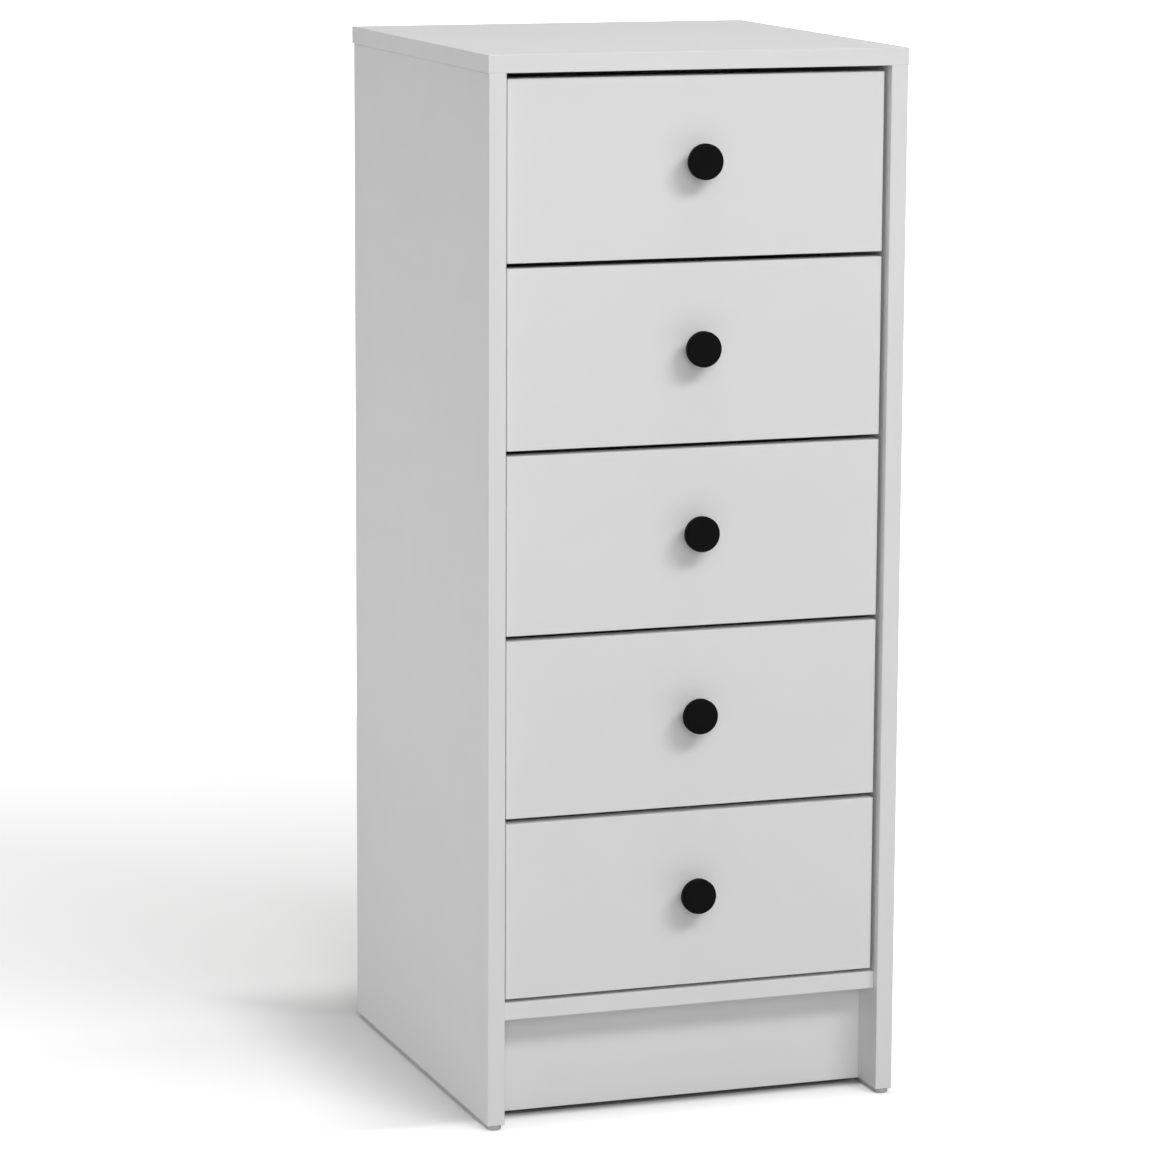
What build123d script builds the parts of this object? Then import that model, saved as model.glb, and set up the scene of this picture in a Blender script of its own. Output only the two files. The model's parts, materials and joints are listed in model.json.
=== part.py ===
"""Tall narrow chest of five inset drawers: faced boards, cam fittings and roller runners.

Millimetres. +Z is up and the drawer fronts face -Y. The origin lies on the floor, under the middle
of the whole piece, knobs included. Drawer 1 is the top drawer. Every piece is a solid of its own.
"""
import os

from build123d import *

# Boards
BOARD = 15.0              # faced board of the cabinet and of the drawer fronts
BOX_BOARD = 12.0          # drawer sides and drawer backs
HARDBOARD = 3.0           # cabinet back and drawer bases
ARRIS = 0.4               # softened edge of a board

# Cabinet
CABINET_WIDTH = 370.0
SIDE_DEPTH = 386.0
PLINTH_HEIGHT = 89.2
PLINTH_RECESS = 39.0      # behind the front edges of the sides
TOP_SIDE_OVERHANG = 0.5
TOP_BACK_OVERHANG = 4.0   # covers the edge of the back panel
BACK_INSET = 2.0          # edge of the back panel inside the outer faces
GLIDE_HEIGHT = 4.6
GLIDE_WIDTH = 13.0
GLIDE_END_INSET = 1.0
GLIDE_ROUND = 1.5

# Drawer fronts
DRAWER_COUNT = 5
FRONT_HEIGHT = 151.6
FRONT_GAP = 4.5           # between one front and the next
FRONT_TOP_GAP = 5.2
FRONT_BOTTOM_GAP = 3.2
FRONT_SIDE_GAP = 3.3
FRONT_RECESS = 8.0        # behind the front edges of the sides

# Drawer boxes
BOX_REAR_CLEARANCE = 13.0  # from the end of a drawer to the cabinet back
BOX_LIFT = 18.0            # lower edge of the box above the lower edge of its front
BOX_TOP_DROP = 25.0        # upper edge of the box below the upper edge of its front
BASE_LIFT = 10.0           # base above the lower edge of the box
GROOVE_DEPTH = 5.0
BASE_PLAY = 0.2            # room around the base in its grooves

# Knobs
KNOB_RADIUS = 15.1
KNOB_PROJECTION = 22.0
KNOB_RAISE = 5.5           # above the middle of the front
KNOB_FOOT_RADIUS = 8.0
KNOB_FOOT_HEIGHT = 1.5
KNOB_NECK_RADIUS = 6.2
KNOB_HEAD_DEPTH = 8.0      # from the face to the underside of the head
KNOB_RIM_ROUND = 2.0
KNOB_SCREW_RADIUS = 2.0
KNOB_SCREW_GRIP = 10.0
KNOB_SCREW_HEAD_RADIUS = 4.2
KNOB_SCREW_HEAD_HEIGHT = 2.2
KNOB_SCREW_HEAD_CHAMFER = 0.9

# Roller runners
RUNNER_GAP = 12.5          # between the cabinet side and the drawer side
STEEL = 1.0
ROLLER_RADIUS = 7.7
ROLLER_WIDTH = 6.0
ROLLER_END_INSET = 12.0    # roller axis from the end of its runner
ROLLER_RUN = 0.3           # between a roller and its track
ROLLER_ARRIS = 0.6
ROLLER_TREAD = 1.6         # rim round the dished faces of a roller
ROLLER_DISH = 0.8
ROLLER_HUB_LAP = 0.4       # hub of a roller past the collar of its axle
FRONT_ROLLER_RISE = 0.7    # front roller above the channel
AXLE_RADIUS = 2.0
AXLE_PLAY = 0.06           # running clearance in the roller bore
AXLE_COLLAR_RADIUS = 3.5
AXLE_HEAD_HEIGHT = 0.8
ROLLER_SIDE_PLAY = 0.2
FLANGE_LAP = 0.3           # flange past the side of the roller
CHANNEL_SETBACK = 2.0      # channel behind the back of the drawer front
CHANNEL_OVERRUN = 2.0      # channel past the end of the drawer
CHANNEL_NOTCH = 25.0       # upper flange cut away at the front roller
MEMBER_SETBACK = 0.5       # drawer runner behind the back of the drawer front
MEMBER_HEIGHT = 18.0
MEMBER_FLANGE = 11.5       # under the drawer side
RUNNER_HOLE_RADIUS = 2.2   # screw holes in the webs
RUNNER_SLOT_LENGTH = 11.0
RUNNER_HOLE_INSET = 35.0   # outer holes from the ends of a runner
RUNNER_HOLE_PITCH = 32.0   # slot from the hole beside it

# Fittings
FIT = 0.1                  # radial room around a fitting in its hole
CAM_RADIUS = 7.5
CAM_COVER = 2.0            # board left behind a cam
CAM_SLOT_LENGTH = 9.0
CAM_SLOT_WIDTH = 1.6
CAM_SLOT_DEPTH = 2.0
BOLT_RADIUS = 3.0
BOLT_SHANK_RADIUS = 2.5
BOLT_HEAD_RADIUS = 3.5
BOLT_HEAD_LENGTH = 3.0
BOLT_COVER = 4.0           # board left behind a bolt
CABINET_CAM_REACH = 34.0   # cam axis from the joint
DRAWER_CAM_REACH = 24.0
DRAWER_CAM_DROP = 45.0     # cam below the upper edge of the drawer side
DOWEL_RADIUS = 4.0
DOWEL_SHORT_END = 10.0
DOWEL_LONG_END = 20.0
DOWEL_CHAMFER = 1.0
FITTING_INSET = 60.0       # fittings from the front and back edges
DOWEL_PITCH = 32.0         # dowel from the fitting beside it
PLINTH_FITTING_DROP = 25.0
SCREW_RADIUS = 2.5
SCREW_HEAD_RADIUS = 4.5
SCREW_LENGTH = 40.0
SCREW_TIP = 3.0
SCREW_INSET = 20.0         # screws from the upper and lower edges of the drawer back
CROSS_LENGTH = 4.6         # cross recess of a screw head
CROSS_WIDTH = 1.0
CROSS_DEPTH = 1.3

# Places that follow from the sizes
inner_half = CABINET_WIDTH / 2 - BOARD
side_middle = CABINET_WIDTH / 2 - BOARD / 2
knob_reach = max(KNOB_PROJECTION - FRONT_RECESS, 0.0)
whole_depth = knob_reach + SIDE_DEPTH + TOP_BACK_OVERHANG
side_front = knob_reach - whole_depth / 2
side_back = side_front + SIDE_DEPTH
front_face = side_front + FRONT_RECESS
front_back = front_face + BOARD
box_end = side_back - BOX_REAR_CLEARANCE
box_half = inner_half - RUNNER_GAP
box_inner_half = box_half - BOX_BOARD
box_side_middle = box_half - BOX_BOARD / 2
box_height = FRONT_HEIGHT - BOX_LIFT - BOX_TOP_DROP
bottom_low = GLIDE_HEIGHT + PLINTH_HEIGHT
bottom_high = bottom_low + BOARD
front_pitch = FRONT_HEIGHT + FRONT_GAP
top_low = bottom_high + FRONT_BOTTOM_GAP + DRAWER_COUNT * front_pitch - FRONT_GAP + FRONT_TOP_GAP
top_high = top_low + BOARD
plinth_front = side_front + PLINTH_RECESS
plinth_middle = plinth_front + BOARD / 2

# Runner section: u runs inwards from the cabinet side, v upwards from the foot of the channel
roller_near = (RUNNER_GAP - ROLLER_WIDTH) / 2
roller_far = roller_near + ROLLER_WIDTH
channel_width = roller_far + FLANGE_LAP
rear_roller_v = STEEL + ROLLER_RUN + ROLLER_RADIUS
channel_height = rear_roller_v + ROLLER_RADIUS + ROLLER_RUN + STEEL
front_roller_v = channel_height + FRONT_ROLLER_RISE - ROLLER_RADIUS
track_low = front_roller_v + ROLLER_RADIUS + ROLLER_RUN
member_high = track_low + STEEL
member_low = member_high - MEMBER_HEIGHT
box_low_v = member_low + STEEL
channel_start = front_back + CHANNEL_SETBACK
channel_end = box_end + CHANNEL_OVERRUN
front_roller_y = channel_start + ROLLER_END_INSET
rear_roller_y = box_end - ROLLER_END_INSET

LEFT, RIGHT = -1, 1
BACKWARD = (0, 1, 0)
DOWN = (0, 0, -1)


def front_low(number):
    """Height of the lower edge of a drawer front, counted from the top drawer."""
    return bottom_high + FRONT_BOTTOM_GAP + (DRAWER_COUNT - number) * front_pitch


def block(low, high):
    """A plain block between two corners."""
    size = [b - a for a, b in zip(low, high)]
    middle = [(a + b) / 2 for a, b in zip(low, high)]
    return Pos(*middle) * Box(*size)


def board(low, high):
    """A faced board with softened edges."""
    return chamfer(block(low, high).edges(), ARRIS)


def rod(start, direction, radius, length, seam=None):
    """A round bar from a point along a direction, with its seam line on the side that seam points to."""
    bar = Cylinder(radius, length, align=(Align.CENTER, Align.CENTER, Align.MIN))
    return Plane(origin=start, x_dir=seam, z_dir=direction) * bar


def turned(start, direction, outline):
    """A turned piece, from (radius, distance) points along an axis."""
    profile = make_face(Polyline(*outline, close=True))
    return Plane(origin=start, z_dir=direction) * revolve(Plane.XZ * profile, Axis.Z)


def cross(point, out):
    """The cross recess of a screw, sunk from a point on its head."""
    bar = Box(CROSS_LENGTH, CROSS_WIDTH, 2 * CROSS_DEPTH)
    return Plane(origin=point, z_dir=out) * (bar + Rot(0, 0, 90) * bar)


def mirrored(shape, side):
    """A right-hand shape as it is, or turned into its left-hand twin."""
    return shape if side == RIGHT else mirror(shape, about=Plane.YZ)


def save(node, pieces):
    """Write one node, as one solid or as a group of separate solids."""
    solids = [solid for piece in pieces for solid in piece.solids()]
    shape = solids[0] if len(solids) == 1 else Compound(solids)
    shape.label = node
    export_step(shape, f"parts/{node}.step")


class CamJoint:
    """A bolt screwed into one board and the cam that draws it into the next board."""

    def __init__(self, point, into, out, reach, face, thickness):
        """Lay the fitting out.

        point lies on the joint and on the bolt's axis. into points from the bolt's board to the cam's
        board, out along the cam's axis to the face that it is pressed into, face is how far off that
        face lies, and thickness is that of the bolt's board.
        """
        point, into, out = Vector(point), Vector(into), Vector(out)
        grip = thickness - BOLT_COVER
        depth = 2 * face - CAM_COVER
        foot = point + into * reach + out * (face - depth)
        head_start = grip + reach - BOLT_HEAD_LENGTH / 2
        head_end = head_start + BOLT_HEAD_LENGTH
        self.bolt = turned(point - into * grip, into, [
            (0, 0), (BOLT_RADIUS, 0), (BOLT_RADIUS, grip), (BOLT_SHANK_RADIUS, grip),
            (BOLT_SHANK_RADIUS, head_start), (BOLT_HEAD_RADIUS, head_start),
            (BOLT_HEAD_RADIUS, head_end), (0, head_end)])
        bore = rod(point - into * FIT, into, BOLT_HEAD_RADIUS + FIT, head_end - grip + 2 * FIT)
        slot = Plane(origin=foot + out * depth, x_dir=into, z_dir=out) * Box(
            CAM_SLOT_LENGTH, CAM_SLOT_WIDTH, 2 * CAM_SLOT_DEPTH)
        self.cam = rod(foot, out, CAM_RADIUS, depth, seam=into) - bore - slot
        self.bolt_hole = rod(point - into * (grip + FIT), into, BOLT_RADIUS + FIT, grip + 2 * FIT)
        self.cam_hole = rod(foot - out * FIT, out, CAM_RADIUS + FIT, depth + 2 * FIT, seam=into) + bore


class DowelJoint:
    """A dowel across a joint, with its short end in the board that has the least depth."""

    def __init__(self, point, into):
        """point lies on the joint and into points to the board that takes the long end."""
        point, into = Vector(point), Vector(into)
        start = point - into * DOWEL_SHORT_END
        length = DOWEL_SHORT_END + DOWEL_LONG_END
        tip = DOWEL_RADIUS - DOWEL_CHAMFER
        self.dowel = turned(start, into, [
            (0, 0), (tip, 0), (DOWEL_RADIUS, DOWEL_CHAMFER), (DOWEL_RADIUS, length - DOWEL_CHAMFER),
            (tip, length), (0, length)])
        self.hole = rod(start - into * FIT, into, DOWEL_RADIUS + FIT, length + 2 * FIT)


def cut_all(shape, cutters):
    """A shape less every cutter."""
    for cutter in cutters:
        shape = shape - cutter
    return shape


def fitting_places(front, back):
    """Cam and dowel places along the depth of a board: pairs of a cam's y and a dowel's y."""
    return [(front + FITTING_INSET, front + FITTING_INSET + DOWEL_PITCH),
            (back - FITTING_INSET, back - FITTING_INSET - DOWEL_PITCH)]


class Cabinet:
    """The carcass: top, two sides, bottom, plinth, back, glides and the fittings between them."""

    def __init__(self):
        """Lay out the joints on both sides."""
        self.top_cams, self.bottom_cams, self.plinth_cams = [], [], []
        self.top_dowels, self.bottom_dowels, self.plinth_dowels = [], [], []
        for side in (LEFT, RIGHT):
            self.lay_out_side(side)

    def lay_out_side(self, side):
        """Cam and dowel joints of one side with the top, the bottom and the plinth."""
        inwards = (-side, 0, 0)
        for cam_y, dowel_y in fitting_places(side_front, side_back):
            self.top_cams.append(CamJoint((side * side_middle, cam_y, top_low), DOWN, inwards,
                                          CABINET_CAM_REACH, BOARD / 2, BOARD))
            self.top_dowels.append(DowelJoint((side * side_middle, dowel_y, top_low), DOWN))
        for cam_y, dowel_y in fitting_places(front_face, side_back):
            middle_z = bottom_low + BOARD / 2
            self.bottom_cams.append(CamJoint((side * inner_half, cam_y, middle_z), inwards, DOWN,
                                             CABINET_CAM_REACH, BOARD / 2, BOARD))
            self.bottom_dowels.append(DowelJoint((side * inner_half, dowel_y, middle_z), inwards))
        cam_z = bottom_low - PLINTH_FITTING_DROP
        self.plinth_cams.append(CamJoint((side * inner_half, plinth_middle, cam_z), inwards, BACKWARD,
                                         CABINET_CAM_REACH, BOARD / 2, BOARD))
        self.plinth_dowels.append(
            DowelJoint((side * inner_half, plinth_middle, cam_z - DOWEL_PITCH), inwards))

    def top_panel(self):
        """The top, laid on the sides, flush at the front and over the back panel behind."""
        half = CABINET_WIDTH / 2 + TOP_SIDE_OVERHANG
        panel = board((-half, side_front, top_low), (half, side_back + TOP_BACK_OVERHANG, top_high))
        holes = [joint.bolt_hole for joint in self.top_cams] + [joint.hole for joint in self.top_dowels]
        return cut_all(panel, holes)

    def side_panel(self, side):
        """One side, from the glides to the top."""
        near, far = sorted((side * inner_half, side * CABINET_WIDTH / 2))
        panel = board((near, side_front, GLIDE_HEIGHT), (far, side_back, top_low))
        holes = [joint.cam_hole for joint in self.top_cams]
        holes += [joint.bolt_hole for joint in self.bottom_cams + self.plinth_cams]
        holes += [joint.hole for joint in self.top_dowels + self.bottom_dowels + self.plinth_dowels]
        return cut_all(panel, [hole for hole in holes if hole.center().X * side > 0])

    def bottom_panel(self):
        """The bottom, between the sides, with its front edge in line with the drawer fronts."""
        panel = board((-inner_half, front_face, bottom_low), (inner_half, side_back, bottom_high))
        holes = [joint.cam_hole for joint in self.bottom_cams]
        return cut_all(panel, holes + [joint.hole for joint in self.bottom_dowels])

    def plinth(self):
        """The plinth board, set back under the bottom."""
        panel = board((-inner_half, plinth_front, GLIDE_HEIGHT),
                      (inner_half, plinth_front + BOARD, bottom_low))
        holes = [joint.cam_hole for joint in self.plinth_cams]
        return cut_all(panel, holes + [joint.hole for joint in self.plinth_dowels])

    def back_panel(self):
        """The hardboard back, laid on the rear edges of the sides and of the bottom."""
        half = CABINET_WIDTH / 2 - BACK_INSET
        return block((-half, side_back, bottom_low), (half, side_back + HARDBOARD, top_low))

    def glides(self):
        """A round-ended glide strip under each side."""
        strip = extrude(SlotOverall(SIDE_DEPTH - 2 * GLIDE_END_INSET, GLIDE_WIDTH), GLIDE_HEIGHT)
        strip = fillet(strip.faces().sort_by(Axis.Z)[0].edges(), GLIDE_ROUND)
        middle_y = (side_front + side_back) / 2
        return [Pos(side * side_middle, middle_y, 0) * Rot(0, 0, 90) * strip for side in (LEFT, RIGHT)]

    def fittings(self):
        """Every cam and bolt of the cabinet."""
        joints = self.top_cams + self.bottom_cams + self.plinth_cams
        return [piece for joint in joints for piece in (joint.cam, joint.bolt)]

    def dowels(self):
        """Every dowel of the cabinet."""
        return [joint.dowel for joint in self.top_dowels + self.bottom_dowels + self.plinth_dowels]


def runner_section(points, start, end, foot_z):
    """A right-hand runner strip: a (u, v) outline drawn out from start to end along the depth."""
    outline = [(inner_half - u, foot_z + v) for u, v in points]
    profile = make_face(Polyline(*outline, close=True))
    return extrude(Plane(origin=(0, start, 0), x_dir=(1, 0, 0), z_dir=(0, -1, 0)) * profile, start - end)


def fixing_places(start, end):
    """Screw places along a runner: pairs of a hole's y and the y of the slot beside it."""
    first, last = start + RUNNER_HOLE_INSET, end - RUNNER_HOLE_INSET
    middle = (start + end) / 2
    return [(first, first + RUNNER_HOLE_PITCH), (middle, middle + RUNNER_HOLE_PITCH),
            (last, last - RUNNER_HOLE_PITCH)]


def punched(strip, places, web, z):
    """A right-hand runner strip with screw holes and slots through its web, which starts at u = web."""
    near = inner_half - web - 2 * STEEL
    through = 3 * STEEL
    slot = extrude(SlotOverall(RUNNER_SLOT_LENGTH, 2 * RUNNER_HOLE_RADIUS), through)
    for hole_y, slot_y in places:
        strip = strip - rod((near, hole_y, z), (1, 0, 0), RUNNER_HOLE_RADIUS, through)
        strip = strip - Plane(origin=(near, slot_y, z), x_dir=(0, 1, 0), z_dir=(1, 0, 0)) * slot
    return strip


def axle(y, z, root, tip_side):
    """A right-hand riveted axle: collar, journal and head, from a web at u = root.

    tip_side is 1 where the axle points away from the cabinet side, and -1 where it points to it.
    """
    collar_end = roller_near - ROLLER_SIDE_PLAY if tip_side > 0 else roller_far + ROLLER_SIDE_PLAY
    journal = ROLLER_WIDTH + 2 * ROLLER_SIDE_PLAY
    collar = abs(collar_end - root)
    head_start = collar + journal
    head_end = head_start + AXLE_HEAD_HEIGHT
    return turned((inner_half - root, y, z), (-tip_side, 0, 0), [
        (0, 0), (AXLE_COLLAR_RADIUS, 0), (AXLE_COLLAR_RADIUS, collar), (AXLE_RADIUS, collar),
        (AXLE_RADIUS, head_start), (AXLE_COLLAR_RADIUS, head_start),
        (AXLE_COLLAR_RADIUS, head_end), (0, head_end)])


def channel(foot_z):
    """The right-hand cabinet runner: a punched C-section with its front roller's axle and a rear stop."""
    strip = runner_section([
        (0, 0), (channel_width, 0), (channel_width, STEEL), (STEEL, STEEL),
        (STEEL, channel_height - STEEL), (channel_width, channel_height - STEEL),
        (channel_width, channel_height), (0, channel_height)], channel_start, channel_end, foot_z)
    notch = runner_section([
        (STEEL, channel_height - STEEL), (channel_width, channel_height - STEEL),
        (channel_width, channel_height), (STEEL, channel_height)],
        channel_start, channel_start + CHANNEL_NOTCH, foot_z)
    stop = runner_section([
        (STEEL, STEEL), (channel_width, STEEL), (channel_width, channel_height - STEEL),
        (STEEL, channel_height - STEEL)], channel_end - STEEL, channel_end, foot_z)
    places = fixing_places(channel_start, channel_end)
    strip = punched(strip - notch + stop, places, 0, foot_z + channel_height / 2)
    return strip + axle(front_roller_y, foot_z + front_roller_v, STEEL, 1)


def member(foot_z):
    """The right-hand drawer runner: a track over the front roller, a punched web, a foot under the
    side and the rear roller's axle."""
    start = front_back + MEMBER_SETBACK
    track_tip = roller_near - FLANGE_LAP
    web = RUNNER_GAP - STEEL
    strip = runner_section([
        (track_tip, track_low), (web, track_low), (web, member_low),
        (RUNNER_GAP + MEMBER_FLANGE, member_low), (RUNNER_GAP + MEMBER_FLANGE, member_low + STEEL),
        (RUNNER_GAP, member_low + STEEL), (RUNNER_GAP, member_high), (track_tip, member_high)],
        start, box_end, foot_z)
    strip = punched(strip, fixing_places(start, box_end), web, foot_z + (member_low + member_high) / 2)
    return strip + axle(rear_roller_y, foot_z + rear_roller_v, web, -1)


def roller(y, z):
    """A right-hand roller with its bore and dished faces."""
    bore = AXLE_RADIUS + AXLE_PLAY
    hub = AXLE_COLLAR_RADIUS + ROLLER_HUB_LAP
    rim = ROLLER_RADIUS - ROLLER_TREAD
    near_half = [
        (bore, 0), (hub, 0), (hub, ROLLER_DISH), (rim, ROLLER_DISH), (rim, 0),
        (ROLLER_RADIUS - ROLLER_ARRIS, 0), (ROLLER_RADIUS, ROLLER_ARRIS)]
    far_half = [(radius, ROLLER_WIDTH - distance) for radius, distance in reversed(near_half)]
    return turned((inner_half - roller_far, y, z), (1, 0, 0), near_half + far_half)


def pair(shape):
    """A right-hand shape and its left-hand twin."""
    return [mirrored(shape, side) for side in (LEFT, RIGHT)]


class Drawer:
    """One drawer: front, box, base, knob, fittings, runners and rollers."""

    def __init__(self, number):
        """Place the drawer and lay out its joints."""
        self.low = front_low(number)
        self.high = self.low + FRONT_HEIGHT
        self.box_low = self.low + BOX_LIFT
        self.box_high = self.box_low + box_height
        self.base_low = self.box_low + BASE_LIFT
        self.base_high = self.base_low + HARDBOARD
        self.knob_z = (self.low + self.high) / 2 + KNOB_RAISE
        self.channel_foot = self.box_low - box_low_v
        cam_z = self.box_high - DRAWER_CAM_DROP
        self.cams = [CamJoint((side * box_side_middle, front_back, cam_z), BACKWARD, (side, 0, 0),
                              DRAWER_CAM_REACH, BOX_BOARD / 2, BOARD) for side in (LEFT, RIGHT)]

    def groove(self):
        """The slot that the base slides into, in the front and in both sides."""
        half = box_inner_half + GROOVE_DEPTH
        return block((-half, front_back - GROOVE_DEPTH, self.base_low),
                     (half, box_end + BOX_BOARD, self.base_high + BASE_PLAY))

    def front(self):
        """The inset front."""
        half = inner_half - FRONT_SIDE_GAP
        panel = board((-half, front_face, self.low), (half, front_back, self.high))
        screw_hole = rod((0, front_face, self.knob_z), BACKWARD, KNOB_SCREW_RADIUS + FIT, BOARD)
        return cut_all(panel, [self.groove(), screw_hole] + [joint.bolt_hole for joint in self.cams])

    def side(self, side):
        """One side of the box, grooved for the base."""
        near, far = sorted((side * box_inner_half, side * box_half))
        panel = board((near, front_back, self.box_low), (far, box_end, self.box_high))
        cam_holes = [joint.cam_hole for joint in self.cams]
        screw_holes = [self.screw(place, z, FIT) for place in (LEFT, RIGHT) for z in self.screw_heights()]
        holes = [hole for hole in cam_holes + screw_holes if hole.center().X * side > 0]
        return cut_all(panel, [self.groove()] + holes)

    def back(self):
        """The back of the box, between the sides and on top of the base."""
        panel = board((-box_inner_half, box_end - BOX_BOARD, self.base_high),
                      (box_inner_half, box_end, self.box_high))
        return cut_all(panel, [self.screw(side, z, FIT)
                               for side in (LEFT, RIGHT) for z in self.screw_heights()])

    def base(self):
        """The hardboard base, in its grooves and under the back."""
        half = box_inner_half + GROOVE_DEPTH - BASE_PLAY
        return block((-half, front_back - GROOVE_DEPTH + BASE_PLAY, self.base_low),
                     (half, box_end, self.base_high))

    def screw_heights(self):
        """Heights of the screws that hold the back."""
        return [self.base_high + SCREW_INSET, self.box_high - SCREW_INSET]

    def screw(self, side, z, room):
        """A countersunk screw through one side into the back, or its hole where room is given."""
        head, shank = SCREW_HEAD_RADIUS + 2 * room, SCREW_RADIUS + room
        length = SCREW_LENGTH + 2 * room
        return turned((side * (box_half + room), box_end - BOX_BOARD / 2, z), (-side, 0, 0), [
            (0, 0), (head, 0), (shank, head - shank), (shank, length - SCREW_TIP), (0, length)])

    def back_screws(self):
        """The screws that hold the back, with their cross recesses."""
        y = box_end - BOX_BOARD / 2
        return [self.screw(side, z, 0) - cross((side * box_half, y, z), (side, 0, 0))
                for side in (LEFT, RIGHT) for z in self.screw_heights()]

    def knob(self):
        """The round knob: foot, drawn-in neck, wide head with a rounded rim, and a blind screw hole."""
        hole = KNOB_SCREW_RADIUS + FIT
        hole_end = KNOB_SCREW_GRIP + FIT
        head_low = KNOB_PROJECTION - KNOB_HEAD_DEPTH
        flare = Vector(KNOB_RADIUS - KNOB_RIM_ROUND, head_low)
        waist = Vector(KNOB_NECK_RADIUS, (KNOB_FOOT_HEIGHT + head_low) / 2)
        edge_low = Vector(KNOB_RADIUS, head_low + KNOB_RIM_ROUND)
        edge_high = Vector(KNOB_RADIUS, KNOB_PROJECTION - KNOB_RIM_ROUND)
        face = Vector(KNOB_RADIUS - KNOB_RIM_ROUND, KNOB_PROJECTION)
        foot_edge = Vector(KNOB_FOOT_RADIUS, KNOB_FOOT_HEIGHT)
        neck = Spline(foot_edge, waist, flare, tangents=[(-1, 1), (1, 0)])
        outline = [
            Polyline((0, hole_end), (hole, hole_end), (hole, 0), (KNOB_FOOT_RADIUS, 0), foot_edge),
            neck,
            RadiusArc(flare, edge_low, -KNOB_RIM_ROUND),
            Line(edge_low, edge_high),
            RadiusArc(edge_high, face, -KNOB_RIM_ROUND),
            Polyline(face, (0, KNOB_PROJECTION), (0, hole_end))]
        profile = make_face(Curve() + outline)
        axis = Plane(origin=(0, front_face, self.knob_z), z_dir=(0, -1, 0))
        return axis * revolve(Plane.XZ * profile, Axis.Z)

    def knob_screw(self):
        """The pan-head screw through the front into the knob."""
        length = KNOB_SCREW_HEAD_HEIGHT + BOARD + KNOB_SCREW_GRIP
        crown = (0, front_back + KNOB_SCREW_HEAD_HEIGHT, self.knob_z)
        screw = turned(crown, (0, -1, 0), [
            (0, 0), (KNOB_SCREW_HEAD_RADIUS - KNOB_SCREW_HEAD_CHAMFER, 0),
            (KNOB_SCREW_HEAD_RADIUS, KNOB_SCREW_HEAD_CHAMFER),
            (KNOB_SCREW_HEAD_RADIUS, KNOB_SCREW_HEAD_HEIGHT),
            (KNOB_SCREW_RADIUS, KNOB_SCREW_HEAD_HEIGHT), (KNOB_SCREW_RADIUS, length), (0, length)])
        return screw - cross(crown, BACKWARD)

    def fittings(self):
        """Cams, bolts, back screws and the knob screw."""
        pieces = [piece for joint in self.cams for piece in (joint.cam, joint.bolt)]
        return pieces + self.back_screws() + [self.knob_screw()]

    def channels(self):
        """The two cabinet runners that carry this drawer."""
        return pair(channel(self.channel_foot))

    def members(self):
        """The two runners under the drawer sides."""
        return pair(member(self.channel_foot))

    def rear_rollers(self):
        """The rollers at the back of the drawer, inside the channels."""
        return pair(roller(rear_roller_y, self.channel_foot + rear_roller_v))

    def front_rollers(self):
        """The rollers at the front of the channels, under the drawer's tracks."""
        return pair(roller(front_roller_y, self.channel_foot + front_roller_v))


def main():
    """Build every piece and write it."""
    os.makedirs("parts", exist_ok=True)
    cabinet = Cabinet()
    save("top_panel", [cabinet.top_panel()])
    save("left_side_panel", [cabinet.side_panel(LEFT)])
    save("right_side_panel", [cabinet.side_panel(RIGHT)])
    save("bottom_panel", [cabinet.bottom_panel()])
    save("plinth", [cabinet.plinth()])
    save("back_panel", [cabinet.back_panel()])
    save("floor_glides", cabinet.glides())
    save("cam_fittings", cabinet.fittings())
    save("dowels", cabinet.dowels())
    channels = []
    for number in range(1, DRAWER_COUNT + 1):
        drawer = Drawer(number)
        name = f"drawer_{number}"
        channels += drawer.channels()
        save(f"{name}_front", [drawer.front()])
        save(f"{name}_left_side", [drawer.side(LEFT)])
        save(f"{name}_right_side", [drawer.side(RIGHT)])
        save(f"{name}_back", [drawer.back()])
        save(f"{name}_base", [drawer.base()])
        save(f"{name}_knob", [drawer.knob()])
        save(f"{name}_fittings", drawer.fittings())
        save(f"{name}_runners", drawer.members())
        save(f"{name}_rear_rollers", drawer.rear_rollers())
        save(f"{name}_front_rollers", drawer.front_rollers())
    save("cabinet_runners", channels)


main()
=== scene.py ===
"""Looks of a tall narrow chest of five inset drawers, dressed over its solids.

Metres, in the frame of the solids: +Z is up, the drawer fronts face -Y, and drawer 1 is the top drawer.
The boards, runners, rollers and glides keep their solids and get their finishes here. The knobs are turned
again with smooth faces, and the pins and screw heads that hold the back and the runners are added.
"""

import functools
import json
import logging
import math
from collections.abc import Iterable
from dataclasses import dataclass, field
from enum import Enum

import bmesh
import bpy
from mathutils import Matrix, Quaternion, Vector
from mathutils.geometry import interpolate_bezier


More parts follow.
